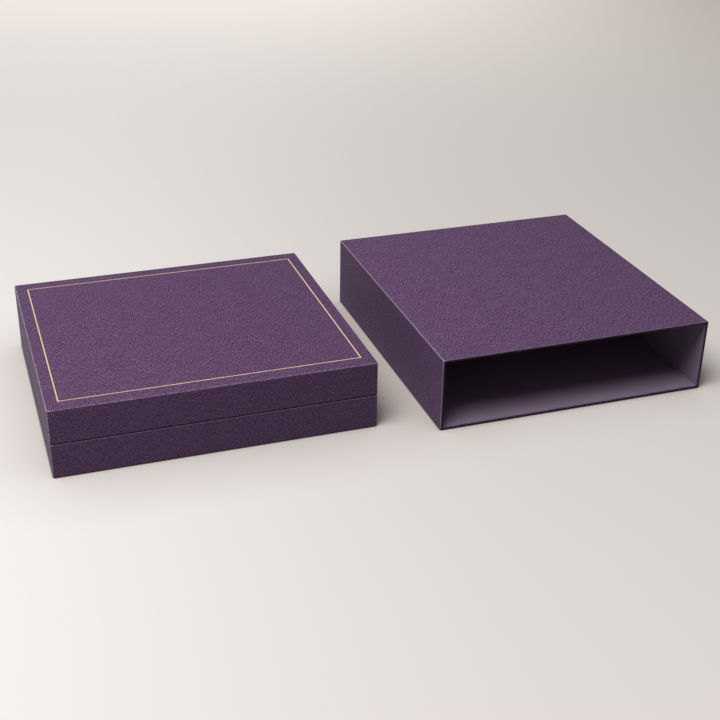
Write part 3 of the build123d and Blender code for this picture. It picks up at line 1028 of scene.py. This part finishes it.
# ---- stage ---------------------------------------------------------------------------------------------
def floor_finish(stage):
    """A pale floor that takes soft shadows and throws back only some light."""
    made, g, shader = material("Floor")
    made.node_tree.nodes.remove(shader)
    point = g.place()
    turned = g.node("ShaderNodeVectorRotate", {"Vector": point, "Angle": VIEW_TURN}, rotation_type="Z_AXIS")
    across, away, _ = g.parts(turned.outputs[0])
    # The floor's colours are painted light: bright on the left, falling off to the right and far off.
    far = g.step(away, *AWAY)
    near_colour = g.mix(g.step(across, *NEAR_ACROSS), stage.floor_left, stage.floor_right)
    far_colour = g.mix(g.step(across, *FAR_ACROSS), stage.far_left, stage.far_right)
    pale = g.mix(far, near_colour, far_colour)
    # Painted shade beside each piece, and a painted shadow line right under it.
    pale = g.mix(g.openness(CONTACT_REACH), g.vector("MULTIPLY", pale, stage.contact), pale)
    pale = g.mix(g.step(g.openness(CONTACT_LINE_REACH), 0.4, 0.9), g.scaled(pale, CONTACT_LINE_SHARE), pale)

    lit = g.node("ShaderNodeBsdfDiffuse", {"Color": pale}).outputs[0]
    glow = g.node("ShaderNodeEmission", {"Color": pale, "Strength": 1.0}).outputs[0]
    distance = g.node("ShaderNodeVectorMath", {0: point}, operation="LENGTH").outputs["Value"]
    unshaded = g.math("MAXIMUM", far, g.step(distance, *SHADOWS_FADE))
    shadow = g.math("MULTIPLY", g.math("SUBTRACT", 1.0, unshaded), stage.shadow)
    shown = g.mix_shaders(shadow, glow, lit)
    dim = [stage.bounce * c for c in stage.floor_left]
    thrown = g.node("ShaderNodeBsdfDiffuse", {"Color": dim}).outputs[0]
    g.fill(made.node_tree.nodes["Material Output"], {"Surface": g.mix_shaders(g.seen(), thrown, shown)})
    return made


def surroundings(stage):
    """Even light from all round; where it is seen itself it is as pale as the floor."""
    world = bpy.context.scene.world or bpy.data.worlds.new("Surroundings")
    bpy.context.scene.world = world
    world.use_nodes = True
    g = Graph(world.node_tree)
    light = world.node_tree.nodes["Background"]
    g.fill(light, {"Color": AMBIENT_TINT, "Strength": stage.ambient})
    pale = [(a + b) / 2 for a, b in zip(stage.floor_left, stage.floor_right)]
    backdrop = g.node("ShaderNodeBackground", {"Color": pale, "Strength": 1.0}).outputs[0]
    surface = g.mix_shaders(g.seen(), light.outputs[0], backdrop)
    g.fill(world.node_tree.nodes["World Output"], {"Surface": surface})


def soft_light(stage):
    """One large round light, up on the left, that looks at the middle of the floor."""
    data = bpy.data.lights.new("Soft light", "AREA")
    data.shape, data.size, data.energy, data.color = "DISK", LIGHT_SIZE, stage.power, LIGHT_TINT
    lamp = bpy.data.objects.new("Soft light", data)
    bpy.context.scene.collection.objects.link(lamp)
    lamp.location = LIGHT_PLACE
    lamp.rotation_euler = (-LIGHT_PLACE).to_track_quat("-Z", "Y").to_euler()


def camera(stage):
    """The photograph's view: 407 mm above the table, looking to the right and down."""
    data = bpy.data.cameras.new("Camera")
    data.lens, data.sensor_width = stage.lens, SENSOR_WIDTH
    view = bpy.data.objects.new("Camera", data)
    bpy.context.scene.collection.objects.link(view)
    turn = Matrix.Rotation(-VIEW_TURN, 4, "Z") @ Matrix.Rotation(math.pi / 2 - VIEW_DOWN, 4, "X")
    place = Matrix.Translation(base_low + CAMERA_FROM_CORNER)
    view.matrix_world = place @ turn @ Matrix.Rotation(VIEW_ROLL, 4, "Z")
    bpy.context.scene.camera = view


class GIFTBOX_OT_stage(bpy.types.Operator):
    """Sets the floor, the light and the camera"""

    bl_idname = "giftbox.stage"
    bl_label = "Stage"

    def execute(self, context):
        stage = context.scene.gift_box_stage
        select_none()
        bpy.ops.mesh.primitive_plane_add(size=FLOOR_SIZE, location=(0, 0, -FLOOR_DROP))
        floor = named("floor")
        floor.data.materials.append(floor_finish(stage))
        surroundings(stage)
        soft_light(stage)
        camera(stage)
        context.scene.view_settings.view_transform = "Standard"
        return {"FINISHED"}


class GIFTBOX_PT_panel(bpy.types.Panel):
    """Lists the pieces of the gift box and its slipcase"""

    bl_idname = "GIFTBOX_PT_panel"
    bl_label = "Gift box"
    bl_space_type = "VIEW_3D"
    bl_region_type = "UI"
    bl_category = "Gift box"

    def draw(self, context):
        for operator in OPERATORS:
            self.layout.operator(operator.bl_idname)
        for name in GROUPS:
            group = getattr(context.scene, name)
            column = self.layout.column()
            for field in group.__annotations__:
                column.prop(group, field)


OPERATORS = (
    GIFTBOX_OT_stage,
    GIFTBOX_OT_boards,
    GIFTBOX_OT_tray_paper,
    GIFTBOX_OT_neck_paper,
    GIFTBOX_OT_lid_paper,
    GIFTBOX_OT_foil_line,
    GIFTBOX_OT_hinge_cloth,
    GIFTBOX_OT_pads,
    GIFTBOX_OT_slipcase_paper,
    GIFTBOX_OT_slipcase_lining,
)
GROUPS = {"gift_box_sizes": PaperSizes, "gift_box_colours": PaperColours, "gift_box_stage": Stage}
CLASSES = (*GROUPS.values(), *OPERATORS, GIFTBOX_PT_panel)


def register():
    for cls in CLASSES:
        bpy.utils.register_class(cls)
    for name, group in GROUPS.items():
        setattr(bpy.types.Scene, name, PointerProperty(type=group))


def unregister():
    for name in GROUPS:
        delattr(bpy.types.Scene, name)
    for cls in reversed(CLASSES):
        bpy.utils.unregister_class(cls)


def main():
    register()
    for operator in OPERATORS:
        category, name = operator.bl_idname.split(".")
        getattr(getattr(bpy.ops, category), name)()
    object_mode()


if __name__ == "__main__":
    main()
